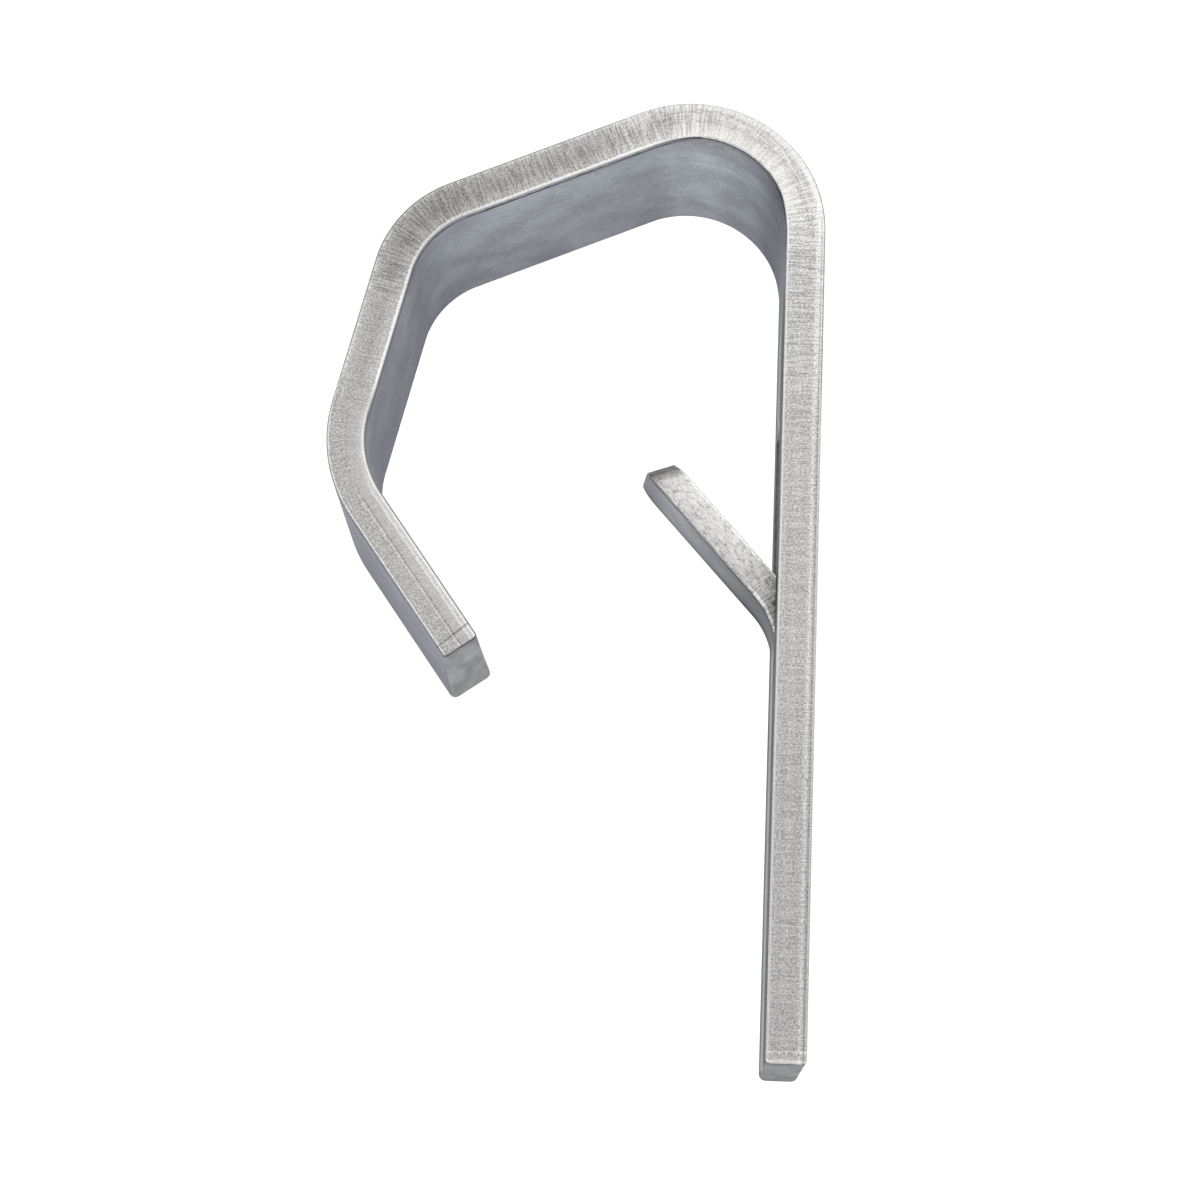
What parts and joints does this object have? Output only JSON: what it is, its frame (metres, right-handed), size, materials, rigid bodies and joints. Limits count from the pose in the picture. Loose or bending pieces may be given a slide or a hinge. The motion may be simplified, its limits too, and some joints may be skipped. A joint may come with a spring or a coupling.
{
  "type": "crank retainer clip",
  "caption": "Flat steel strip bent into an open hook on a long straight leg, with a tab cut from the leg and bent out towards the hook's mouth.",
  "frame": {"origin": "middle of the footprint, on the lower edge of the strip that the clip lies on", "axes": "+Z across the strip's width, up from the edge it lies on; +Y along the leg from its foot to the hook; +X out of the leg's back face, away from the hook"},
  "size_m": [0.0598, 0.1186, 0.0254],
  "materials": {
    "steel": "plain bare steel: rolled satin faces, sheared edges"
  },
  "bodies": {
    "root": {"retainer_clip": "steel"}
  },
  "joints": []
}
